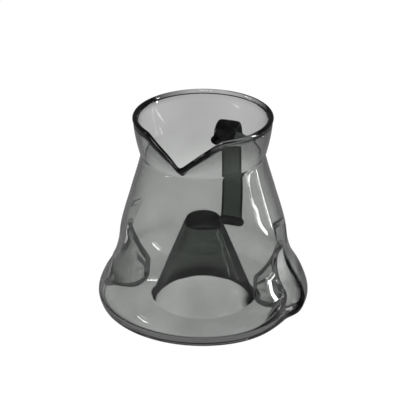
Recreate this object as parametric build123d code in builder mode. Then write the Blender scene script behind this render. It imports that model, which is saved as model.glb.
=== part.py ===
"""Smoked-glass pour-over flask: conical body on a rounded bulb, flared filter collar with a
pouring lip, a hollow cone rising from the floor, a strap handle and two finger pockets.

Millimetres. +Z is up, the flask stands on z = 0 with its axis on the origin. The pouring lip
points along -Y, the handle stands at +Y, and the finger pockets are on +X and -X.
"""

from build123d import *

import math
import os

# Driving dimensions
NECK_Z = 100.0  # crease between the body and the filter collar
NECK_R = 38.0
RIM_Z = 124.0  # height of the collar's glass, without the bead
RIM_R = 42.6
BULB_R = 66.0  # widest radius of the base
BULB_Z = 8.0
FOOT_R = 58.0  # flat ring that the flask rests on
FLOOR_R = 55.0  # the flat floor, inside the turn of the bulb
FLARE = ((44.7, 76), (50.9, 54), (53.1, 40), (56.4, 30), (61.6, 21), (64.6, 14))  # radius, z
NECK_SLOPE = (0.22, -1)  # the flare leaves the neck in this direction
WALL = 2.5
FLOOR = 2.8

CONE_FOOT_R = 33.0
CONE_TOP_R = 10.6
CONE_TOP_Z = 57.0
CONE_WALL = 2.6
CAP_THICK = 3.4  # closed top of the inner cone

LIP_REACH = 45.0  # tip of the pouring lip, from the axis
LIP_TIP_Z = 107.0
LIP_HALF_WIDTH = 22.0  # where the rim starts to dip, beside the lip
LIP_ROOT_DROP = 4.0  # how far the lip's sides reach in at the rim
BEAD_R = 1.6  # fire-polished rim
BEAD_PROUD = 0.35  # how far the bead stands out from the collar's wall
CAP_CROWN = 1.0

STRAP_WIDTH = 15.0
STRAP_THICK = 3.6
STRAP_REACH = 63.8  # middle of the strap's thickness, from the axis
STRAP_TOP_AT = 53.0
STRAP_TOP_Z = 100.5
STRAP_BELLY_Z = 54.0  # where it stands furthest out
STRAP_BOW = 6.0  # how far the bend at the top carries on level
STRAP_BEND_Z = 80.0  # where that bend has turned down
WELD_R = 3.1
WELD_WIDTH = 18.0
UPPER_WELD_AT = 42.4
UPPER_WELD_Z = 91.0
LOWER_WELD_AT = 60.4
LOWER_WELD_Z = 27.0

POCKET_ANGLE = 84.0  # from the pouring lip, on both sides
POCKET_R = 10.5  # finger pocket, a domed hollow
POCKET_DOME_AT = 48.0  # centre of its dome, from the axis
POCKET_Z = 14.5
THROAT_R = 9.0  # trough that rises outwards from the dome, for a finger from above
THROAT_RISE = 64.0  # its slope above level, in degrees
FACET_ANGLE = 93.0  # flat thumb rest above the pocket, from the pouring lip
FACET_AT = 49.1  # its distance from the axis at the ledge
FACET_Z = 57.0
FACET_LEAN = 13.0
FACET_TILT = 14.0
FACET_SIZE = (44.0, 19.0)
SEAM_HALF_WIDTH = 26.0
SEAM_TOP_Z = 66.0
CLEAR = 60.0  # long enough to leave the flask on any side

os.makedirs("parts", exist_ok=True)


def keep(part, name):
    """Labels one finished piece and writes it."""
    part.label = name
    export_step(part, f"parts/{name}.step")


# The flask's outside and inside, from the floor to the neck. The inside is the same outline,
# moved in by the wall.
def body_outline(inset):
    """Half section of the body: a long flare from the neck, rolled under at the bulb."""
    floor = FLOOR if inset else 0
    foot_r = FOOT_R - 2 * inset
    with BuildSketch(Plane.XZ) as section:
        with BuildLine():
            flare = Spline(
                (NECK_R - inset, NECK_Z),
                *((radius - inset, z) for radius, z in FLARE),
                (BULB_R - inset, BULB_Z + floor / 2),
                tangents=(NECK_SLOPE, (0, -1)),
            )
            roll = Spline(
                flare @ 1,
                (foot_r, floor),
                tangents=((0, -1), (-1, 0)),
            )
            Polyline(roll @ 1, (0, floor), (0, NECK_Z), flare @ 0)
        make_face()
    return section.sketch


with BuildPart() as body_outside:
    add(body_outline(0))
    revolve(axis=Axis.Z)

with BuildPart() as body_inside:
    add(body_outline(WALL))
    revolve(axis=Axis.Z)


# One finger pocket on the +X side. Each tool is the hollow seen from outside; grown by the wall
# it's the bulge seen from inside.
def spot(angle, reach, height):
    """A point at this angle from the pouring lip, on the +X side."""
    turn = math.radians(angle - 90)
    return (reach * math.cos(turn), reach * math.sin(turn), height)


def pocket_tool(grow):
    """Domed hollow, open outwards, with a trough that rises out of it."""
    out = Vector(*spot(POCKET_ANGLE, 1, 0))
    rise = math.radians(THROAT_RISE)
    centre = spot(POCKET_ANGLE, POCKET_DOME_AT, POCKET_Z)
    mouth = Plane(origin=centre, z_dir=out)
    throat = Plane(origin=centre, z_dir=out * math.cos(rise) + Vector(0, 0, math.sin(rise)))
    with BuildPart() as tool:
        with BuildSketch(mouth):
            Circle(POCKET_R + grow)
        extrude(amount=CLEAR)
        with BuildSketch(throat):
            Circle(THROAT_R + grow)
        extrude(amount=CLEAR)
        with Locations(mouth):
            Sphere(POCKET_R + grow)
    return tool.part


def facet_tool(grow):
    """Flat thumb rest above the pocket, ending in a ledge."""
    lean = math.radians(FACET_LEAN)
    out = Vector(*spot(FACET_ANGLE, 1, 0))
    normal = out * math.cos(lean) + Vector(0, 0, math.sin(lean))
    along = Vector(0, 0, 1).cross(out).rotate(Axis((0, 0, 0), normal), -FACET_TILT)
    face = Plane(
        origin=spot(FACET_ANGLE, FACET_AT - grow, FACET_Z + grow), x_dir=along, z_dir=normal
    )
    with BuildPart() as tool:
        with BuildSketch(face):
            Rectangle(*FACET_SIZE, align=(Align.CENTER, Align.MAX))
        extrude(amount=CLEAR)
    return tool.part


with BuildPart() as walled_body:
    add(body_outside.part)
    for side in (0, 1):
        for tool in (pocket_tool(0), facet_tool(0)):
            add(mirror(tool, about=Plane.YZ) if side else tool, mode=Mode.SUBTRACT)

with BuildPart() as hollow:
    add(body_inside.part)
    for side in (0, 1):
        for tool in (pocket_tool(WALL), facet_tool(WALL)):
            add(mirror(tool, about=Plane.YZ) if side else tool, mode=Mode.SUBTRACT)

# The cone that rises from the floor, as one solid and as the hollow under it.
cone_slope = (CONE_FOOT_R - CONE_TOP_R) / CONE_TOP_Z
with BuildPart() as cone_outside:
    with BuildSketch(Plane.XZ):
        Polygon((0, 0), (CONE_FOOT_R, 0), (CONE_TOP_R, CONE_TOP_Z), (0, CONE_TOP_Z), align=None)
    revolve(axis=Axis.Z)
with BuildPart() as cone_hollow:
    with BuildSketch(Plane.XZ):
        Polygon(
            (0, 0),
            (CONE_FOOT_R - CONE_WALL, 0),
            (CONE_TOP_R - CONE_WALL + cone_slope * CAP_THICK, CONE_TOP_Z - CAP_THICK),
            (0, CONE_TOP_Z - CAP_THICK),
            align=None,
        )
    revolve(axis=Axis.Z)

# Where the wall is divided into pieces.
with BuildPart() as seam:
    with BuildSketch(Plane.YZ.offset(CONE_FOOT_R)):
        with Locations((0, (SEAM_TOP_Z + FLOOR) / 2)):
            Rectangle(2 * SEAM_HALF_WIDTH, SEAM_TOP_Z - FLOOR)
    extrude(amount=CLEAR)
with BuildPart() as floor_zone:
    Cylinder(FLOOR_R, FLOOR, align=(Align.CENTER, Align.CENTER, Align.MIN))

# Right and left finger pockets
with BuildPart() as right_grip_pocket:
    add(walled_body.part)
    add(hollow.part, mode=Mode.SUBTRACT)
    add(seam.part, mode=Mode.INTERSECT)
keep(right_grip_pocket.part, "right_grip_pocket")

with BuildPart() as left_grip_pocket:
    add(right_grip_pocket.part)
    mirror(about=Plane.YZ, mode=Mode.REPLACE)
keep(left_grip_pocket.part, "left_grip_pocket")

# Floor ring between the foot and the cone
with BuildPart() as base_floor:
    add(floor_zone.part)
    add(cone_outside.part, mode=Mode.SUBTRACT)
keep(base_floor.part, "base_floor")

# Conical wall and bulb
with BuildPart() as flask_body:
    add(walled_body.part)
    add(hollow.part, mode=Mode.SUBTRACT)
    add(floor_zone.part, mode=Mode.SUBTRACT)
    add(seam.part, mode=Mode.SUBTRACT)
    add(mirror(seam.part, about=Plane.YZ), mode=Mode.SUBTRACT)
keep(flask_body.part, "flask_body")

# Hollow cone and the solid cap that closes it
with BuildPart() as inner_cone:
    add(cone_outside.part)
    add(cone_hollow.part, mode=Mode.SUBTRACT)
    split(bisect_by=Plane.XY.offset(CONE_TOP_Z - CAP_THICK), keep=Keep.BOTTOM)
keep(inner_cone.part, "inner_cone")

with BuildPart() as cone_cap:
    with BuildSketch(Plane.XZ):
        with BuildLine():
            low = CONE_TOP_Z - CAP_THICK
            edge = Polyline(
                (0, low), (CONE_TOP_R + cone_slope * CAP_THICK, low), (CONE_TOP_R, CONE_TOP_Z)
            )
            crown = Spline(
                edge @ 1, (0, CONE_TOP_Z + CAP_CROWN), tangents=((-1, 0.3), (-1, 0))
            )
            Line(crown @ 1, edge @ 0)
        make_face()
    revolve(axis=Axis.Z)
keep(cone_cap.part, "cone_cap")


# The filter collar flares from the neck, and its front is drawn out into the pouring lip. The lip
# is a wedge that grows with height, cut to the dip of the rim.
lip_growth = (LIP_REACH - NECK_R) / (LIP_TIP_Z - NECK_Z) * (RIM_Z - NECK_Z)


def lip_section(share, inset):
    """The wedge's plan at this share of the collar's height: half width, root and tip."""
    root = NECK_R - 0.5 - LIP_ROOT_DROP * share
    root_at_top = NECK_R - 0.5 - LIP_ROOT_DROP
    side_slope = (NECK_R + lip_growth - root_at_top) / LIP_HALF_WIDTH
    tip = max(NECK_R + lip_growth * share - inset * math.hypot(1, side_slope), root - inset + 0.2)
    return (tip - root + inset) / side_slope, root - inset, tip


def collar_form(inset):
    """The collar's outside, or its inside when moved in by the wall."""
    with BuildPart() as form:
        with BuildSketch(Plane.XZ):
            with BuildLine():
                side = Spline(
                    (NECK_R - inset, NECK_Z),
                    (RIM_R - inset, RIM_Z + BEAD_R),
                    tangents=((0.42, 1), (0.1, 1)),
                )
                Polyline(side @ 1, (0, RIM_Z + BEAD_R), (0, NECK_Z), side @ 0)
            make_face()
        revolve(axis=Axis.Z)
        for share in (0.03, 1.08):
            half, root, tip = lip_section(share, inset)
            with BuildSketch(Plane.XY.offset(NECK_Z + share * (RIM_Z - NECK_Z))):
                Polygon((-half, -20), (half, -20), (half, -root), (0, -tip), (-half, -root), align=None)
        loft(ruled=True)
    return form.part


def above_rim(rise):
    """Everything above the rim's edge, raised by this much."""
    with BuildPart() as space:
        with Locations((0, 0, RIM_Z + rise)):
            Box(150, 150, 40, align=(Align.CENTER, Align.CENTER, Align.MIN))
        with BuildSketch(Plane.XZ):
            Polygon(
                (0, LIP_TIP_Z + rise),
                (LIP_HALF_WIDTH, RIM_Z + rise),
                (-LIP_HALF_WIDTH, RIM_Z + rise),
                align=None,
            )
        extrude(amount=90)
    return space.part


with BuildPart() as filter_collar:
    add(collar_form(0))
    add(collar_form(WALL), mode=Mode.SUBTRACT)
    add(above_rim(-BEAD_R), mode=Mode.SUBTRACT)
keep(filter_collar.part, "filter_collar")

with BuildPart() as rim_bead:
    add(collar_form(-BEAD_PROUD))
    add(collar_form(WALL + BEAD_PROUD), mode=Mode.SUBTRACT)
    add(above_rim(-BEAD_R), mode=Mode.INTERSECT)
    add(above_rim(BEAD_R), mode=Mode.SUBTRACT)
keep(rim_bead.part, "rim_bead")


# Strap handle at the back, on two welds
def weld(reach, height, width):
    """A rolled bead of glass across the strap's end, fused to the wall."""
    with BuildPart() as bead:
        with BuildSketch(Plane.YZ.offset(-width / 2)):
            with Locations((reach, height)):
                Circle(WELD_R)
        extrude(amount=width)
        fillet(bead.edges().filter_by(GeomType.CIRCLE), WELD_R * 0.4)
        add(body_outside.part, mode=Mode.SUBTRACT)
    return bead.part


with BuildPart() as handle_upper_weld:
    add(weld(UPPER_WELD_AT, UPPER_WELD_Z, WELD_WIDTH))
keep(handle_upper_weld.part, "handle_upper_weld")

with BuildPart() as handle_lower_weld:
    add(weld(LOWER_WELD_AT, LOWER_WELD_Z, WELD_WIDTH))
keep(handle_lower_weld.part, "handle_lower_weld")

with BuildPart() as handle_strap:
    with BuildSketch(Plane.YZ.offset(-STRAP_WIDTH / 2)):
        with BuildLine():
            shoulder = Bezier(
                (UPPER_WELD_AT + 1, UPPER_WELD_Z),
                (UPPER_WELD_AT + 2, STRAP_TOP_Z - 3),
                (STRAP_TOP_AT - 4, STRAP_TOP_Z - STRAP_THICK / 2),
                (STRAP_TOP_AT, STRAP_TOP_Z - STRAP_THICK / 2),
            )
            drop = Bezier(
                shoulder @ 1,
                (STRAP_TOP_AT + STRAP_BOW, STRAP_TOP_Z - STRAP_THICK / 2),
                (STRAP_REACH, STRAP_BEND_Z),
                (STRAP_REACH, STRAP_BELLY_Z),
            )
            Bezier(
                drop @ 1,
                (STRAP_REACH, STRAP_BELLY_Z - 12),
                (LOWER_WELD_AT + 0.8, LOWER_WELD_Z + 8),
                (LOWER_WELD_AT, LOWER_WELD_Z),
            )
        trace(line_width=STRAP_THICK)
    extrude(amount=STRAP_WIDTH)
    add(handle_upper_weld.part, mode=Mode.SUBTRACT)
    add(handle_lower_weld.part, mode=Mode.SUBTRACT)
    add(body_outside.part, mode=Mode.SUBTRACT)
keep(handle_strap.part, "handle_strap")
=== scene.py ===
"""Looks of the smoked-glass pour-over flask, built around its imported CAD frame.

The flask is one thin wall of fused glass with an outer skin and an inner skin. Both are worked
out here as grids round the axis, in millimetres, and cut into the frame's pieces. Neighbours share
their edge points and normals, so that light passes from one piece to the next as in fused glass.
"""

import math

import bpy
import numpy as np
from mathutils import Matrix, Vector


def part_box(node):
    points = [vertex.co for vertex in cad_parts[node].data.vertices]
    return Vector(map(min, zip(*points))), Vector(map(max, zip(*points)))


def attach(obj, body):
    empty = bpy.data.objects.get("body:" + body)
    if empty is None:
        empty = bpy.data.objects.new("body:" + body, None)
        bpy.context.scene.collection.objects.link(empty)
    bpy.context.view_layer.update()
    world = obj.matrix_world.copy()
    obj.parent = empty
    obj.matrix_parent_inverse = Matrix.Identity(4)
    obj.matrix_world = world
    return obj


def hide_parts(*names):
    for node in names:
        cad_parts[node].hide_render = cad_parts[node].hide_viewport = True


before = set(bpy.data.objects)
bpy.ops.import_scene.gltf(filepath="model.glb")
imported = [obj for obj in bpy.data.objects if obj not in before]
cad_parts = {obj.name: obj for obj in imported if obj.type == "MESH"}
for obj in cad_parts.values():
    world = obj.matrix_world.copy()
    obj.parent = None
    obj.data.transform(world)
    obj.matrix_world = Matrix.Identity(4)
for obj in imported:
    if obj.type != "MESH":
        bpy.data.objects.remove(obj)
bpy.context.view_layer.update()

MM = 0.001


def top_of(node):
    """Highest point of a CAD node, in millimetres."""
    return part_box(node)[1][2] / MM


def reach_of(node, axis, side=1):
    """How far a CAD node reaches along x or y, in millimetres."""
    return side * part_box(node)[side > 0][axis] / MM


# Driving dimensions, in millimetres
WALL = 2.5
FLOOR = top_of("base_floor")
NECK_Z = top_of("flask_body")
NECK_R = 38.0
RIM_TOP = top_of("rim_bead")
BEAD_R = 1.6
RIM_R = reach_of("filter_collar", 1)
BULB_R = reach_of("flask_body", 1)
BULB_Z = 8.0
FOOT_R = 58.0
FLOOR_R = reach_of("base_floor", 0)
CONE_FOOT_R = reach_of("inner_cone", 0)
CONE_WALL = 2.6
CONE_TOP_R = 10.6
CAP_LOW = top_of("inner_cone")
CAP_TOP = top_of("cone_cap")
CONE_TOP_Z = CAP_TOP - 1.0
CONE_SLOPE = (CONE_FOOT_R - CONE_TOP_R) / CONE_TOP_Z

LIP_TIP_TOP = 108.5
LIP_GROWTH = 1.13  # how fast the lip's fold runs out with height
LIP_SIDE = 1.45  # slope of its sides, seen from above
LIP_RISE = 0.75  # slope of the rim beside the tip
LIP_TURN = 52  # degrees from the tip beyond which the fold has no say
TIP_ROUND = 0.0012  # rounds the fold at its tip, on the square of a sine
DIP_ROUND = 0.0008  # the same for the V in the rim
COLLAR_CURVE = 1.75  # how quickly the collar straightens towards the rim

POCKET_ANGLE = 84.0
POCKET_R = 10.5
POCKET_LOW_R = 8.6
POCKET_TOP = 30.5  # from its centre to the top of its trough
POCKET_TOP_R = 9.0
POCKET_Z = 14.5
POCKET_TIP = 37.5  # deepest point, from the axis
FACET_ANGLE = 93.0
FACET_AT = 49.1
FACET_Z = 57.0
FACET_LEAN = math.tan(math.radians(13))
FACET_TILT = math.tan(math.radians(14))
FACET_FADE = (16, 27)  # degrees to each side over which a thumb rest runs out
FACET_START_Z = (36, 42)  # heights over which it begins
DRAW_IN = 0.9  # how far the bulb is drawn in beside a pocket, as a share of its overhang
DRAW_IN_AT = POCKET_ANGLE - 6
DRAW_IN_WIDTHS = (24.0, 6.0)  # degrees, on the lip's side and on the handle's side
DRAW_IN_Z = (6, 24)  # heights over which it runs out
BOWL_SQUARE = 3.4  # 2 would make the bowl's section an ellipse; more makes it fuller
TROUGH_SQUARE = 2.6  # the same for the outline of its trough
MOUTH_BAND = 0.8  # width of the painted shade round the mouth
MOUTH_CLEAR = (-2.2, -0.2)  # distances from the mouth over which the thin glass ends
SEAM_ANGLE = 90.0
SEAM_HALF_ANGLE = 27.0
SEAM_LOW = 4.0
SEAM_HIGH = 66.0


def smooth_step(x, low, high):
    """0 below low, 1 above high, smooth between."""
    t = np.clip((x - low) / (high - low), 0, 1)
    return t * t * (3 - 2 * t)


def smooth_max(a, b, blend):
    """The larger of two lengths, with the corner between them rounded."""
    return 0.5 * (a + b + np.sqrt((a - b) ** 2 + blend * blend))


def hermite(x, xs, ys, slopes):
    """Cubic curve through points with given slopes."""
    i = np.clip(np.searchsorted(xs, x) - 1, 0, len(xs) - 2)
    h = xs[i + 1] - xs[i]
    t = (x - xs[i]) / h
    return (
        (2 * t**3 - 3 * t**2 + 1) * ys[i]
        + (t**3 - 2 * t**2 + t) * h * slopes[i]
        + (3 * t**2 - 2 * t**3) * ys[i + 1]
        + (t**3 - t**2) * h * slopes[i + 1]
    )


# The body's outline: radius at each height from the bulb to the neck.
FLARE_Z = np.array([BULB_Z, 14, 21, 30, 40, 54, 76, NECK_Z])
FLARE_R = np.array([BULB_R, 64.6, 61.6, 56.4, 53.1, 50.9, 44.7, NECK_R])
FLARE_SLOPE = np.array([0, -0.34, -0.51, -0.46, -0.235, -0.22, -0.283, -0.22])


def turn_from(angle, centre):
    """Angle from a direction, wrapped to plus or minus 180 degrees."""
    return (angle - centre + 180) % 360 - 180


def wall_radius(angle, z, inset=0.0):
    """Radius of the body's wall at an angle from the lip, with the thumb rests but no pockets."""
    roll_z = BULB_Z + (FLOOR / 2 if inset else 0)
    low_z = FLOOR if inset else 0
    foot = FOOT_R - 2 * inset
    drop = np.clip((roll_z - z) / (roll_z - low_z), 0, 1)
    roll = foot + (BULB_R - inset - foot) * np.sqrt(np.maximum(1 - drop**2, 0))
    flare = hermite(np.maximum(z, BULB_Z), FLARE_Z, FLARE_R, FLARE_SLOPE) - inset
    radius = np.where(z < roll_z, np.minimum(roll, flare), flare)
    for side in (-1, 1):
        away = side * turn_from(angle, side * FACET_ANGLE)
        spread = np.radians(np.clip(away, -60, 60))
        flat = (FACET_AT - inset - FACET_LEAN * (z - FACET_Z)) / np.cos(spread)
        ledge = FACET_Z + inset - FACET_TILT * FACET_AT * spread
        cut = np.maximum(radius - flat, 0) * (1 - smooth_step(z, ledge - 0.6, ledge + 1.6))
        near = (1 - smooth_step(np.abs(away), *FACET_FADE)) * smooth_step(z, *FACET_START_Z)
        radius = radius - cut * near
    # The bulb is drawn in beside the right pocket, gently on the lip's side
    away = turn_from(angle, DRAW_IN_AT)
    width = np.where(away < 0, *DRAW_IN_WIDTHS)
    pulled = np.exp(-((away / width) ** 2)) * (1 - smooth_step(z, *DRAW_IN_Z))
    return radius - DRAW_IN * pulled * np.maximum(radius - (foot + 1), 0)


def lip_radius(angle, z, inset=0.0):
    """Radius of the collar's wall: a flare whose front is drawn out into the pouring lip."""
    t = (z - NECK_Z) / (RIM_TOP - NECK_Z)
    round_r = NECK_R + (RIM_R - NECK_R) * (1 - (1 - t) ** COLLAR_CURVE)
    turn = np.radians(np.clip(np.abs(angle), 0, LIP_TURN))
    side = np.sqrt(np.sin(turn) ** 2 + TIP_ROUND) - 0.02
    fold = NECK_R - 1 + LIP_GROWTH * (z - NECK_Z)
    lip = fold / (np.cos(turn) + LIP_SIDE * side)
    blend = 1.6 * np.clip(t * 4, 0.15, 1)
    return smooth_max(round_r, lip, blend) - inset


def rim_height(angle):
    """Top of the rim: level, with a V-shaped dip at the lip."""
    turn = np.radians(np.clip(np.abs(angle), 0, 90))
    across = RIM_R * np.sqrt(np.sin(turn) ** 2 + DIP_ROUND) - 0.8
    dip = LIP_TIP_TOP + LIP_RISE * across
    return -smooth_max(-RIM_TOP, -dip, 1.2)


def spaced(low, high, step):
    """Angles from low up to but not including high."""
    count = round((high - low) / step)
    return low + (high - low) * np.arange(count) / count


half = [
    spaced(0, 14, 0.4),
    spaced(14, SEAM_ANGLE - SEAM_HALF_ANGLE, 1.4),
    spaced(SEAM_ANGLE - SEAM_HALF_ANGLE, SEAM_ANGLE + SEAM_HALF_ANGLE, 0.9),
    spaced(SEAM_ANGLE + SEAM_HALF_ANGLE, 180, 1.4),
]
right_half = np.concatenate(half)
ANGLES = np.concatenate([right_half, [180.0], -right_half[:0:-1]])


def points_of(angle, radius, z):
    """Angle from the lip, radius and height to x, y, z. The lip points along -Y."""
    a = np.radians(angle)
    return np.stack([radius * np.sin(a), -radius * np.cos(a), z + 0 * radius], axis=-1)


def ring_normals(grid):
    """Normals of a closed grid of rings, from its own slopes."""
    along = np.gradient(grid, axis=0)
    ahead, behind = np.roll(grid, -1, axis=1), np.roll(grid, 1, axis=1)
    normal = np.cross(along, ahead - behind)
    return normal / np.maximum(np.linalg.norm(normal, axis=-1, keepdims=True), 1e-9)


# Both skins start at the bead's top. The outer one goes down the outside, under the floor and up
# inside the cone; the inner one down the inside, over the floor and up round the cone.
bead_z = rim_height(ANGLES) - BEAD_R
bead_r = lip_radius(ANGLES, bead_z) - WALL / 2


def bead_row(turn):
    """One ring on the bead, at this angle round its section, 0 outwards and 90 up."""
    a = math.radians(turn)
    return points_of(ANGLES, bead_r + BEAD_R * math.cos(a), bead_z + BEAD_R * math.sin(a))


def collar_row(share, inset):
    """One ring on the collar's wall, from the neck at 0 to just under the bead at 1."""
    z = NECK_Z + share * (bead_z - 1.6 * BEAD_R - NECK_Z)
    return points_of(ANGLES, lip_radius(ANGLES, z, inset), z)


def body_row(z, inset):
    return points_of(ANGLES, wall_radius(ANGLES, z, inset), z)


def plain_row(radius, z):
    return points_of(ANGLES, radius + 0 * ANGLES, z)


SEAM_ROWS = np.linspace(SEAM_HIGH, SEAM_LOW, 61)
COLLAR_ROWS = np.linspace(1, 0, 29)
SHOULDER_ROWS = np.linspace(NECK_Z, SEAM_HIGH, 21)

# Round the neck the body's glass is painted darker at the back, as painted shade, and the collar's
# is painted lighter in front, as painted light, so that the tints meet without an edge.
BACK = smooth_step(np.abs(ANGLES), 70, 110)
NECK_BACK_SHADE = 0.2 * smooth_step(SHOULDER_ROWS, SEAM_HIGH, NECK_Z)[:, None] * BACK
COLLAR_FRONT_LIGHT = 0.6 * smooth_step(np.append(1, COLLAR_ROWS), 0.9, 0.2)[:, None] * (1 - BACK)


def skin(inset):
    """Rings of one skin in order, with the first and last ring of each stretch."""
    bead = np.arange(90, -61, -10) if inset == 0 else np.arange(90, 241, 10)
    low_z = FLOOR if inset else 0
    foot = FOOT_R - 2 * inset
    cone_r = CONE_FOOT_R - CONE_SLOPE * FLOOR if inset else CONE_FOOT_R - CONE_WALL
    stretches = {
        "bead": [bead_row(turn) for turn in bead],
        "collar": [collar_row(share, inset) for share in COLLAR_ROWS],
        "shoulder": [body_row(z, inset) for z in SHOULDER_ROWS[1:]],
        "seam": [body_row(z, inset) for z in SEAM_ROWS[1:]],
    }
    turns = np.radians(np.linspace(0, 90, 9))
    start = wall_radius(ANGLES, SEAM_LOW, inset)
    stretches["foot"] = [
        points_of(
            ANGLES,
            foot + (start - foot) * math.cos(t),
            SEAM_LOW + (low_z - SEAM_LOW) * math.sin(t),
        )
        for t in turns[1:]
    ]
    floor_r = FLOOR_R if not inset else foot - 1
    stretches["foot"].append(plain_row(floor_r, low_z))
    stretches["floor"] = [plain_row(r, low_z) for r in np.linspace(floor_r, cone_r + 1.2, 8)[1:]]
    if inset:
        lift = np.array([[0.5, 0.25], [0.1, 0.7], [-0.35, 1.5]])
        heights = np.linspace(FLOOR + 2.4, CAP_LOW, 22)
        stretches["cone"] = [plain_row(cone_r + r, FLOOR + z) for r, z in lift] + [
            plain_row(CONE_FOOT_R - CONE_SLOPE * z, z) for z in heights
        ]
        edge = [(0.0, -0.9), (-0.25, -0.35), (-0.8, 0.0), (-2.4, 0.35), (-5.2, 0.75), (-8.0, 0.95)]
        stretches["cap"] = [plain_row(CONE_TOP_R + r, CONE_TOP_Z + z) for r, z in edge]
        stretches["cap"].append(plain_row(0.02, CAP_TOP))
    else:
        lift = np.array([[0.35, 0.15], [0.1, 0.4], [-0.2, 0.9]])
        heights = np.linspace(2, CAP_LOW - 1, 22)
        stretches["cone"] = [plain_row(cone_r + r, z) for r, z in lift] + [
            plain_row(cone_r - CONE_SLOPE * z, z) for z in heights
        ]
        stretches["cap"] = [
            plain_row(cone_r - CONE_SLOPE * CAP_LOW - 0.6, CAP_LOW),
            plain_row(3.0, CAP_LOW + 0.3),
            plain_row(0.02, CAP_LOW + 0.3),
        ]
    rows, ends = [], {}
    for name, rings in stretches.items():
        first = max(len(rows) - 1, 0)
        rows += rings
        ends[name] = (first, len(rows) - 1)
    return np.array(rows), ends


class Shell:
    """Points, normals, marks and faces of one piece, gathered from grids.

    A point's two marks say how clear its glass is, where it's thin and where light is painted
    on, and how dark, at dark joints and where shade is painted on.
    """

    def __init__(self):
        self.points, self.normals, self.marks, self.faces = [], [], [], []
        self.count = 0

    def add(self, points, normals, faces, marks=(0.0, 0.0)):
        self.points.append(points.reshape(-1, 3))
        self.normals.append(normals.reshape(-1, 3))
        self.marks.append(np.broadcast_to(marks, points.shape[:-1] + (2,)).reshape(-1, 2))
        self.faces.append(faces + self.count)
        self.count += self.points[-1].shape[0]

    def object(self, name):
        """The piece as a smooth mesh, with points that coincide joined and unused ones left out."""
        points = np.concatenate(self.points)
        _, first, same = np.unique(
            np.round(points, 5), axis=0, return_index=True, return_inverse=True
        )
        faces = same.reshape(-1)[np.concatenate(self.faces)]
        used, faces = np.unique(faces, return_inverse=True)
        kept = first[used]
        rings = [list(dict.fromkeys(face)) for face in faces.reshape(-1, 4).tolist()]
        mesh = bpy.data.meshes.new(name)
        mesh.from_pydata((points[kept] * MM).tolist(), [], [r for r in rings if len(r) > 2])
        for column, mark in enumerate(("thin_glass_and_painted_light", "dark_joints_and_painted_shade")):
            layer = mesh.attributes.new(mark, "FLOAT", "POINT")
            values = np.concatenate(self.marks)[kept, column]
            layer.data.foreach_set("value", np.ascontiguousarray(values, np.float32))
        mesh.shade_smooth()
        mesh.normals_split_custom_set_from_vertices(np.concatenate(self.normals)[kept].tolist())
        piece = bpy.data.objects.new(name, mesh)
        bpy.context.scene.collection.objects.link(piece)
        return piece


def quads(rows, columns, flip=False):
    """Faces of a grid of rings, row by row."""
    i, j = np.meshgrid(np.arange(rows - 1), np.arange(columns), indexing="ij")
    k = (j + 1) % columns
    a, b = i * columns + j, i * columns + k
    c, d = (i + 1) * columns + k, (i + 1) * columns + j
    corners = [a, b, c, d] if flip else [a, d, c, b]
    return np.stack(corners, axis=-1).reshape(-1, 4)


def stretch(shell, grid, normals, ends, names, flip, dark_joints_and_painted_shade=0.0, thin_glass_and_painted_light=0.0):
    """Adds the named stretches of a skin to a piece."""
    low, high = ends[names[0]][0], ends[names[-1]][1]
    part = grid[low : high + 1]
    marks = np.zeros(part.shape[:2] + (2,))
    marks[..., 0], marks[..., 1] = thin_glass_and_painted_light, dark_joints_and_painted_shade
    shell.add(part, normals[low : high + 1], quads(part.shape[0], part.shape[1], flip), marks)


outer, outer_ends = skin(0)
inner, inner_ends = skin(WALL)
outer_normals = ring_normals(outer)
inner_normals = -ring_normals(inner)
skins = (
    (outer, outer_normals, outer_ends, 0, False),
    (inner, inner_normals, inner_ends, WALL, True),
)


def whole_rings(name, *stretches, dark_joints_and_painted_shade=0.0, thin_glass_and_painted_light=0.0):
    """A piece made of complete rings of both skins."""
    shell = Shell()
    for grid, normals, ends, _, flip in skins:
        stretch(shell, grid, normals, ends, stretches, flip, dark_joints_and_painted_shade, thin_glass_and_painted_light)
    return shell.object(name)


def seam_columns(side):
    """Columns of the grid across one pocket's seam, from the lip's side to the handle's side."""
    away = turn_from(ANGLES, side * SEAM_ANGLE)
    columns = np.where(np.abs(away) <= SEAM_HALF_ANGLE + 1e-6)[0]
    return columns[np.argsort(away[columns])]


def flask_wall(name):
    """The body's wall and bulb, with two windows that the finger pockets fill."""
    shell = Shell()
    blocked = np.zeros(len(ANGLES), bool)
    for side in (1, -1):
        columns = seam_columns(side)
        gap = columns[turn_from(ANGLES[columns], side * SEAM_ANGLE) < SEAM_HALF_ANGLE - 1e-6]
        blocked[gap] = True
    for grid, normals, ends, _, flip in skins:
        # The shoulder carries the painted shade at the back of the neck
        stretch(shell, grid, normals, ends, ["shoulder"], flip, NECK_BACK_SHADE)
        stretch(shell, grid, normals, ends, ["foot"], flip)
        low, high = ends["seam"]
        part = grid[low : high + 1]
        faces = quads(part.shape[0], part.shape[1], flip).reshape(part.shape[0] - 1, -1, 4)
        shell.add(part, normals[low : high + 1], faces[:, ~blocked].reshape(-1, 4))
    return shell.object(name)


def mouth_reach(across, up, grow):
    """Distance from the pocket's centre to its mouth: round, with a trough rising from it."""
    round_part = 1 / np.hypot(
        across / (POCKET_R + grow), up / np.where(up < 0, POCKET_LOW_R + grow, POCKET_R + grow)
    )
    trough = (
        np.abs(across / (POCKET_TOP_R + grow)) ** TROUGH_SQUARE
        + np.abs(up / (POCKET_TOP + grow)) ** TROUGH_SQUARE
    ) ** (-1 / TROUGH_SQUARE)
    return np.where(up > 0, smooth_max(round_part, trough, 0.8), round_part)


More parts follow.
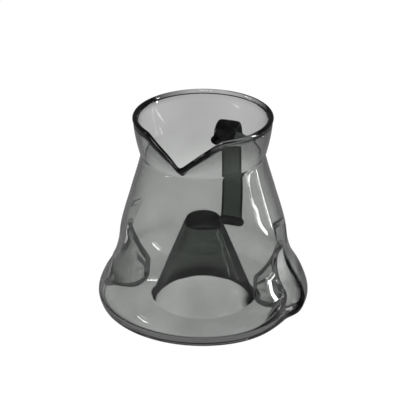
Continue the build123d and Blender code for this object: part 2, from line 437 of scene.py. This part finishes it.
def grip_pocket(name, side):
    """One finger pocket: a bowl pressed into the wall, and the wall round it up to the seam.

    The bowl's glass is stretched thin, and a dark edge of painted shade runs round the mouth.
    """
    out = points_of(side * POCKET_ANGLE, 1.0, np.array(0.0))
    along = points_of(side * (POCKET_ANGLE + 90), 1.0, np.array(0.0))
    columns = seam_columns(side)
    if side < 0:
        columns = columns[::-1]
    shell = Shell()
    for grid, normals, ends, inset, flip in skins:
        low, high = ends["seam"]
        rows = np.arange(low, high + 1)
        edge = (
            [(rows[0], c) for c in columns]
            + [(r, columns[-1]) for r in rows[1:]]
            + [(rows[-1], c) for c in columns[::-1][1:]]
            + [(r, columns[0]) for r in rows[::-1][1:-1]]
        )
        edge_rows, edge_columns = np.array(edge).T
        border, border_normals = grid[edge_rows, edge_columns], normals[edge_rows, edge_columns]
        across, up = border @ along, border[:, 2] - POCKET_Z
        far = np.hypot(across, up)
        near = mouth_reach(across / far, up / far, inset)
        tip = POCKET_TIP - inset
        # Shares of the way to the mouth, and of the depth there in a level or a rising direction
        bowl = np.radians(np.linspace(1, 90, 44))
        spread = np.sin(bowl)
        level = 1 - np.cos(bowl) ** (2 / BOWL_SQUARE)
        slope = np.maximum(spread - 0.3, 0) / 0.7
        spread = np.where(level > 0.9, spread + 0.05 * ((level - 0.9) / 0.1) ** 2, spread)
        rising = np.clip(up / far, 0, 1) ** 2
        rings = [
            (share * near, a + (b - a) * rising) for share, a, b in zip(spread, level, slope)
        ]
        for share in np.linspace(0, 1, 70)[1:] ** 1.5:
            reach = spread[-1] * near + share * (far - spread[-1] * near)
            rings.append((reach, np.ones(far.shape)))
        edge_gap = np.array([np.mean(reach - near * spread[-1]) for reach, _ in rings])
        thin_glass_and_painted_light = 1 - smooth_step(edge_gap, *MOUTH_CLEAR)
        # The second mark is painted shade: a dark band round the mouth
        marks = np.stack([thin_glass_and_painted_light, np.exp(-((edge_gap / MOUTH_BAND) ** 2))], axis=-1)
        patch = []
        for reach, rise in rings:
            y, z = reach * across / far, POCKET_Z + reach * up / far
            x = np.full(y.shape, BULB_R - 4.0)
            for _ in range(6):
                angle = side * (POCKET_ANGLE + np.degrees(np.arctan2(y, x)))
                x = np.sqrt(wall_radius(angle, z, inset) ** 2 - y**2)
            x = tip + (x - tip) * rise
            patch.append(x[:, None] * out + y[:, None] * along + z[:, None] * np.array([0, 0, 1.0]))
        patch = np.array(patch)
        patch[-1] = border
        turned = not flip if side > 0 else flip
        face_normals = ring_normals(patch) * (-1 if turned else 1)
        face_normals[-1] = border_normals
        marks = np.repeat(marks[:, None, :], patch.shape[1], axis=1)
        shell.add(patch, face_normals, quads(*patch.shape[:2], turned), marks)
        centre = patch[0].mean(axis=0)
        count = patch.shape[1]
        cap = np.stack([np.tile(centre, (count, 1)), patch[0]])
        cap_normals = np.stack([face_normals[0], face_normals[0]])
        shell.add(cap, cap_normals, quads(2, count, turned), (1.0, 0.0))
    return shell.object(name)


# The strap handle is a flat bar of glass on a route in the plane x = 0, between two rolled welds.
STRAP_WIDTH = 2 * reach_of("handle_strap", 0)
STRAP_THICK = 3.6
STRAP_TOP_AT = 53.0
STRAP_BOW = 6.0
STRAP_BEND_Z = 80.0
STRAP_TOP_Z = top_of("handle_strap") - STRAP_THICK / 2
STRAP_REACH = reach_of("handle_strap", 1) - STRAP_THICK / 2
STRAP_BELLY_Z = 54.0
WELD_R = 3.1
UPPER_WELD = (42.4, 91.0)
LOWER_WELD = (60.4, 27.0)
WELD_WIDTH = 18.0


def bezier(points, count):
    """Points on a cubic curve."""
    t = np.linspace(0, 1, count)[:, None]
    a, b, c, d = (np.array(p, float) for p in points)
    return (1 - t) ** 3 * a + 3 * (1 - t) ** 2 * t * b + 3 * (1 - t) * t**2 * c + t**3 * d


def solid_from_sections(name, sections, dark_joints_and_painted_shade):
    """A closed, smooth bar from rings of points, with a fan over each end."""
    sections = np.array(sections)
    marks = np.stack([0 * dark_joints_and_painted_shade, dark_joints_and_painted_shade], axis=-1)
    shell = Shell()
    normals = ring_normals(sections)
    middle = sections.mean(axis=1, keepdims=True)
    if np.sum(normals * (sections - middle)) < 0:
        normals, flip = -normals, True
    else:
        flip = False
    shell.add(sections, normals, quads(*sections.shape[:2], flip), marks)
    for end, turned in ((0, not flip), (-1, flip)):
        ring = sections[end]
        centre = np.tile(ring.mean(axis=0), (len(ring), 1))
        inward = sections[end] - sections[1 if end == 0 else -2]
        away = np.tile(inward.mean(axis=0) / np.linalg.norm(inward.mean(axis=0)), (len(ring), 1))
        fan = quads(2, len(ring), turned)
        shell.add(np.stack([ring, centre]), np.stack([normals[end], away]), fan, marks[end])
    return shell.object(name)


def strap(name):
    route = np.concatenate(
        [
            bezier(
                [
                    (UPPER_WELD[0] + 1, UPPER_WELD[1]),
                    (UPPER_WELD[0] + 2, STRAP_TOP_Z - 1.2),
                    (STRAP_TOP_AT - 4, STRAP_TOP_Z),
                    (STRAP_TOP_AT, STRAP_TOP_Z),
                ],
                24,
            )[:-1],
            bezier(
                [
                    (STRAP_TOP_AT, STRAP_TOP_Z),
                    (STRAP_TOP_AT + STRAP_BOW, STRAP_TOP_Z),
                    (STRAP_REACH, STRAP_BEND_Z),
                    (STRAP_REACH, STRAP_BELLY_Z),
                ],
                40,
            )[:-1],
            bezier(
                [
                    (STRAP_REACH, STRAP_BELLY_Z),
                    (STRAP_REACH, STRAP_BELLY_Z - 12),
                    (LOWER_WELD[0] + 0.8, LOWER_WELD[1] + 8),
                    LOWER_WELD,
                ],
                30,
            ),
        ]
    )
    way = np.gradient(route, axis=0)
    way /= np.linalg.norm(way, axis=1, keepdims=True)
    turns = np.linspace(0, 2 * math.pi, 64, endpoint=False)
    wide = STRAP_WIDTH / 2 * np.sign(np.cos(turns)) * np.abs(np.cos(turns)) ** 0.45
    thickness_and_shade = STRAP_THICK / 2 * np.sign(np.sin(turns)) * np.abs(np.sin(turns)) ** 0.7
    sections = []
    for (y, z), (dy, dz) in zip(route, way):
        sections.append(np.stack([wide, y - dz * thickness_and_shade, z + dy * thickness_and_shade], axis=-1))
    # Painted shade: near black through the bend at the top and along both edges
    bend_shade = 0.95 * smooth_step(route[:, 1], 84, 93)
    edge = smooth_step(np.abs(wide), 0.74 * STRAP_WIDTH / 2, 0.88 * STRAP_WIDTH / 2)
    return solid_from_sections(name, sections, np.maximum(bend_shade[:, None], edge[None, :]))


def rolled_weld(name, centre, width):
    """A rolled end of glass across the strap."""
    turns = np.linspace(0, 2 * math.pi, 40, endpoint=False)
    sections = []
    for t in np.linspace(-1, 1, 25):
        side = math.copysign(math.sin(abs(t) * math.pi / 2) ** 0.8, t)
        round_off = (1 - abs(side) ** 5) ** 0.5
        radius = max(WELD_R * round_off, 0.15)
        sections.append(
            np.stack(
                [
                    np.full(40, side * width / 2),
                    centre[0] + radius * np.cos(turns),
                    centre[1] + radius * np.sin(turns),
                ],
                axis=-1,
            )
        )
    return solid_from_sections(name, sections, np.full((25, 40), 0.9))


# Materials: smoked glass whose surface carries the tint, deeper where it's seen edge on.
def tint_mix(nodes, links, factor, first, second):
    """A colour between two others. Each is a colour or another node's output."""
    mix = nodes.new("ShaderNodeMix")
    mix.data_type = "RGBA"
    for socket, value in (("Factor", factor), ("A", first), ("B", second)):
        if isinstance(value, tuple):
            mix.inputs[socket].default_value = (*value, 1)
        else:
            links.new(value, mix.inputs[socket])
    return mix.outputs["Result"]


def smoked_glass(name, tint, edge, edge_from=0.55, front=None):
    """Clear tinted glass with slightly uneven density and a faint ripple in its surface.

    The tint turns to edge where the glass is seen edge on. With front, that's the tint on the
    side towards the lip, as painted light, with the darker tint behind as painted shade.
    """
    material = bpy.data.materials.new(name)
    material.use_nodes = True
    nodes, links = material.node_tree.nodes, material.node_tree.links
    shader = nodes["Principled BSDF"]
    shader.inputs["Transmission Weight"].default_value = 1.0
    shader.inputs["IOR"].default_value = 1.47
    place = nodes.new("ShaderNodeTexCoord")
    cloud = nodes.new("ShaderNodeTexNoise")
    cloud.inputs["Scale"].default_value = 22.0
    cloud.inputs["Detail"].default_value = 2.0
    links.new(place.outputs["Object"], cloud.inputs["Vector"])
    colour = tint
    if front:
        split = nodes.new("ShaderNodeSeparateXYZ")
        links.new(place.outputs["Object"], split.inputs["Vector"])
        depth = nodes.new("ShaderNodeMapRange")
        depth.interpolation_type = "SMOOTHSTEP"
        depth.inputs["From Min"].default_value = -8 * MM
        depth.inputs["From Max"].default_value = 4 * MM
        links.new(split.outputs["Y"], depth.inputs["Value"])
        colour = tint_mix(nodes, links, depth.outputs["Result"], front, tint)
    denser = nodes.new("ShaderNodeMapRange")
    denser.inputs["From Min"].default_value = 0.3
    denser.inputs["From Max"].default_value = 1.6
    links.new(cloud.outputs["Fac"], denser.inputs["Value"])
    colour = tint_mix(nodes, links, denser.outputs["Result"], colour, edge)
    facing = nodes.new("ShaderNodeLayerWeight")
    facing.inputs["Blend"].default_value = 0.5
    grazing = nodes.new("ShaderNodeMapRange")
    grazing.interpolation_type = "SMOOTHSTEP"
    grazing.inputs["From Min"].default_value = edge_from
    grazing.inputs["From Max"].default_value = 1.0
    links.new(facing.outputs["Facing"], grazing.inputs["Value"])
    colour = tint_mix(nodes, links, grazing.outputs["Result"], colour, edge)
    # Lightens the tint where the glass is thin, and as painted light on the collar's front
    thin_glass_and_light = nodes.new("ShaderNodeAttribute")
    thin_glass_and_light.attribute_name = "thin_glass_and_painted_light"
    colour = tint_mix(nodes, links, thin_glass_and_light.outputs["Fac"], colour, THIN_GLASS_AND_LIGHT_TINT)
    # Darkens the tint at dark joints, and as painted shade on the rim, the pockets' mouths, the
    # cone's foot, the neck's back and the strap
    thickness_and_shade = nodes.new("ShaderNodeAttribute")
    thickness_and_shade.attribute_name = "dark_joints_and_painted_shade"
    colour = tint_mix(nodes, links, thickness_and_shade.outputs["Fac"], colour, SHADE_AND_JOINT_TINT)
    links.new(colour, shader.inputs["Base Color"])
    haze = nodes.new("ShaderNodeMapRange")
    haze.inputs["To Max"].default_value = 0.03
    links.new(cloud.outputs["Fac"], haze.inputs["Value"])
    links.new(haze.outputs["Result"], shader.inputs["Roughness"])
    wave = nodes.new("ShaderNodeTexNoise")
    wave.inputs["Scale"].default_value = 38.0
    wave.inputs["Detail"].default_value = 1.0
    links.new(place.outputs["Object"], wave.inputs["Vector"])
    bump = nodes.new("ShaderNodeBump")
    bump.inputs["Strength"].default_value = 0.03
    bump.inputs["Distance"].default_value = 0.002
    links.new(wave.outputs["Fac"], bump.inputs["Height"])
    links.new(bump.outputs["Normal"], shader.inputs["Normal"])
    return material


# Tint of thin glass, also used as painted light
THIN_GLASS_AND_LIGHT_TINT = (0.88, 0.885, 0.88)
# Near black for dark joints and for painted shade
SHADE_AND_JOINT_TINT = (0.002, 0.002, 0.002)
BODY_GLASS = smoked_glass("body_glass", (0.63, 0.64, 0.63), (0.26, 0.27, 0.265))
FLOOR_GLASS = smoked_glass("floor_glass", (0.655, 0.665, 0.655), (0.16, 0.17, 0.165))
COLLAR_GLASS = smoked_glass("collar_glass", (0.49, 0.495, 0.49), (0.24, 0.25, 0.245))
RIM_GLASS = smoked_glass("rim_glass", (0.55, 0.555, 0.55), (0.01, 0.01, 0.01), 0.3)
# The cone's back is painted shade and its lighter front painted light
CONE_GLASS = smoked_glass(
    "cone_glass", (0.21, 0.235, 0.215), (0.01, 0.012, 0.01), 0.4, front=(0.78, 0.79, 0.78)
)
CAP_GLASS = smoked_glass("cap_glass", (0.12, 0.13, 0.12), (0.005, 0.006, 0.005), 0.4)
STRAP_GLASS = smoked_glass("strap_glass", (0.14, 0.16, 0.14), (0.003, 0.003, 0.003), 0.3)

# Painted shade on the cone's rings, from the floor up
CONE_FADE = [0.9, 1, 1, 1, 1, 0.9, 0.3] + [0] * 19

# Painted shade on the rim's bead, by angle from the lip. It's clear at the back and right of the
# lip.
BEAD_TURNS = [-180, -150, -130, -112, 0, 24, 34, 60, 72, 122, 145, 165, 180]
BEAD_SHADE = [0.1, 0.15, 0.6, 1, 1, 1, 0.25, 0.25, 1, 1, 0.5, 0.3, 0.1]


def dress(piece, material, slot, *nodes):
    """Gives a piece its glass and its body, and hides the CAD nodes it stands for."""
    piece.data.materials.append(material)
    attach(piece, "root")
    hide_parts(*nodes)


dress(flask_wall("flask_body_glass"), BODY_GLASS, "smoked_glass", "flask_body")
dress(whole_rings("base_floor_glass", "floor"), FLOOR_GLASS, "smoked_glass", "base_floor")
dress(grip_pocket("right_pocket_glass", 1), BODY_GLASS, "smoked_glass", "right_grip_pocket")
dress(grip_pocket("left_pocket_glass", -1), BODY_GLASS, "smoked_glass", "left_grip_pocket")

# Painted shade round the bead
bead_shade = np.interp(ANGLES, BEAD_TURNS, BEAD_SHADE)
# Painted shade along the collar's top row under the bead, weaker beyond 60 degrees from the lip
collar_shade = smooth_step(np.append(1, COLLAR_ROWS), 0.9, 1)[:, None] * bead_shade
collar_shade[:, np.abs(ANGLES) > 60] *= 0.3
dress(
    whole_rings("filter_collar_glass", "collar", dark_joints_and_painted_shade=collar_shade, thin_glass_and_painted_light=COLLAR_FRONT_LIGHT),
    COLLAR_GLASS, "collar_glass", "filter_collar",
)
dress(
    whole_rings("rim_bead_glass", "bead", dark_joints_and_painted_shade=bead_shade), RIM_GLASS, "collar_glass", "rim_bead"
)
# Painted shade on the seam round the cone's foot: dark on the handle's side, fading out in front
foot_shade = 1 - smooth_step(np.abs(turn_from(ANGLES, 180)), 95, 112)
cone_shade = np.array(CONE_FADE)[:, None] * foot_shade
dress(
    whole_rings("inner_cone_glass", "cone", dark_joints_and_painted_shade=cone_shade), CONE_GLASS, "cone_glass", "inner_cone"
)
dress(whole_rings("cone_cap_glass", "cap"), CAP_GLASS, "cone_glass", "cone_cap")
dress(strap("handle_strap_glass"), STRAP_GLASS, "handle_glass", "handle_strap")
dress(
    rolled_weld("upper_weld_glass", UPPER_WELD, WELD_WIDTH),
    STRAP_GLASS, "handle_glass", "handle_upper_weld",
)
dress(
    rolled_weld("lower_weld_glass", LOWER_WELD, WELD_WIDTH),
    STRAP_GLASS, "handle_glass", "handle_lower_weld",
)


# Stage: a pale floor, a soft world, soft lights for the sheen and thin bars for the streaks
def pale_floor():
    mesh = bpy.data.meshes.new("studio_floor")
    count, reach = 48, 6.0
    turns = [2 * math.pi * i / count for i in range(count)]
    ring = [(reach * math.cos(t), reach * math.sin(t), -0.0002) for t in turns]
    mesh.from_pydata(ring, [], [list(range(count))])
    floor = bpy.data.objects.new("studio_floor", mesh)
    bpy.context.scene.collection.objects.link(floor)
    material = bpy.data.materials.new("studio_white")
    material.use_nodes = True
    shader = material.node_tree.nodes["Principled BSDF"]
    shader.inputs["Base Color"].default_value = (0.02, 0.02, 0.02, 1)
    shader.inputs["Roughness"].default_value = 0.9
    shader.inputs["Specular IOR Level"].default_value = 0.0
    shader.inputs["Emission Color"].default_value = (1, 1, 1, 1)
    # Seen directly or through glass it's white; what the glass reflects of it is dimmer
    nodes, links = material.node_tree.nodes, material.node_tree.links
    path = nodes.new("ShaderNodeLightPath")
    glow = nodes.new("ShaderNodeMapRange")
    glow.inputs["To Min"].default_value = 1.0
    glow.inputs["To Max"].default_value = 0.22
    links.new(path.outputs["Glossy Depth"], glow.inputs["Value"])
    links.new(glow.outputs["Result"], shader.inputs["Emission Strength"])
    mesh.materials.append(material)


LIGHT_AIM = np.array([0, 0, 0.06])


def way_to(azimuth, elevation):
    """Unit vector towards a direction. Azimuth 0 is in front of the lip, 90 at its right."""
    a, e = math.radians(azimuth), math.radians(elevation)
    return np.array([math.sin(a) * math.cos(e), -math.cos(a) * math.cos(e), math.sin(e)])


def facing_back(azimuth, elevation):
    """Rotation of a light or camera that stands in a direction and looks at the axis."""
    return (math.pi / 2 - math.radians(elevation), 0, math.radians(azimuth))


def area_light(name, width, height, power):
    light = bpy.data.lights.new(name, "AREA")
    light.shape = "RECTANGLE"
    light.size, light.size_y = width, height
    light.energy = power
    lamp = bpy.data.objects.new(name, light)
    bpy.context.scene.collection.objects.link(lamp)
    return lamp


def soft_light(name, azimuth, elevation, distance, width, height, power):
    """An area light that faces the flask from a direction, in metres and watts."""
    lamp = area_light(name, width, height, power)
    lamp.location = LIGHT_AIM + distance * way_to(azimuth, elevation)
    lamp.rotation_euler = facing_back(azimuth, elevation)


def bar_light(name, start, end, width, power):
    """A thin bar of light between two points in millimetres, which faces the flask."""
    start, end = np.array(start) * MM, np.array(end) * MM
    length, middle = float(np.linalg.norm(end - start)), (start + end) / 2
    along = (end - start) / length
    back = middle - LIGHT_AIM
    back -= along * (back @ along)
    back /= np.linalg.norm(back)
    turn = np.eye(4)
    turn[:3] = np.stack([along, np.cross(back, along), back, middle], axis=-1)
    area_light(name, length, width * MM, power).matrix_world = Matrix(turn.tolist())


pale_floor()
world = bpy.data.worlds.new("studio_world")
world.use_nodes = True
world.node_tree.nodes["Background"].inputs["Color"].default_value = (0.12, 0.12, 0.12, 1)
bpy.context.scene.world = world
soft_light("right_strip", 105, 14, 1.2, 0.07, 0.6, 8)
soft_light("left_strip", -70, 30, 1.3, 0.08, 0.5, 5)
soft_light("key", 10, 60, 1.6, 0.5, 0.5, 6)
bar_light("right_bar", (474, 68, 74), (440, 194, 4), 14, 0.09)
bar_light("collar_bar", (335, 232, 2), (368, 207, 90), 10, 0.05)
bar_light("left_bar", (-300, -392, 24), (-382, -316, 30), 8, 0.05)

CAMERA_AZIMUTH = 18.6
CAMERA_ELEVATION = 26.1
CAMERA_DISTANCE = 1.062
CAMERA_LENS = 148.5
AIM = (0.0, 0.0, 0.0629)
SIDE_STEP = 0.003

camera = bpy.data.cameras.new("camera")
camera.lens = CAMERA_LENS
camera.sensor_width = 36.0
view = bpy.data.objects.new("camera", camera)
stand = CAMERA_DISTANCE * way_to(CAMERA_AZIMUTH, CAMERA_ELEVATION)
view.location = np.array(AIM) + stand + SIDE_STEP * way_to(CAMERA_AZIMUTH + 90, 0)
view.rotation_euler = facing_back(CAMERA_AZIMUTH, CAMERA_ELEVATION)
bpy.context.scene.collection.objects.link(view)
bpy.context.scene.camera = view

scene = bpy.context.scene
scene.view_settings.view_transform = "Standard"
scene.cycles.max_bounces = 32
scene.cycles.transmission_bounces = 32
scene.cycles.glossy_bounces = 12
scene.cycles.transparent_max_bounces = 16
scene.cycles.sample_clamp_indirect = 4.0
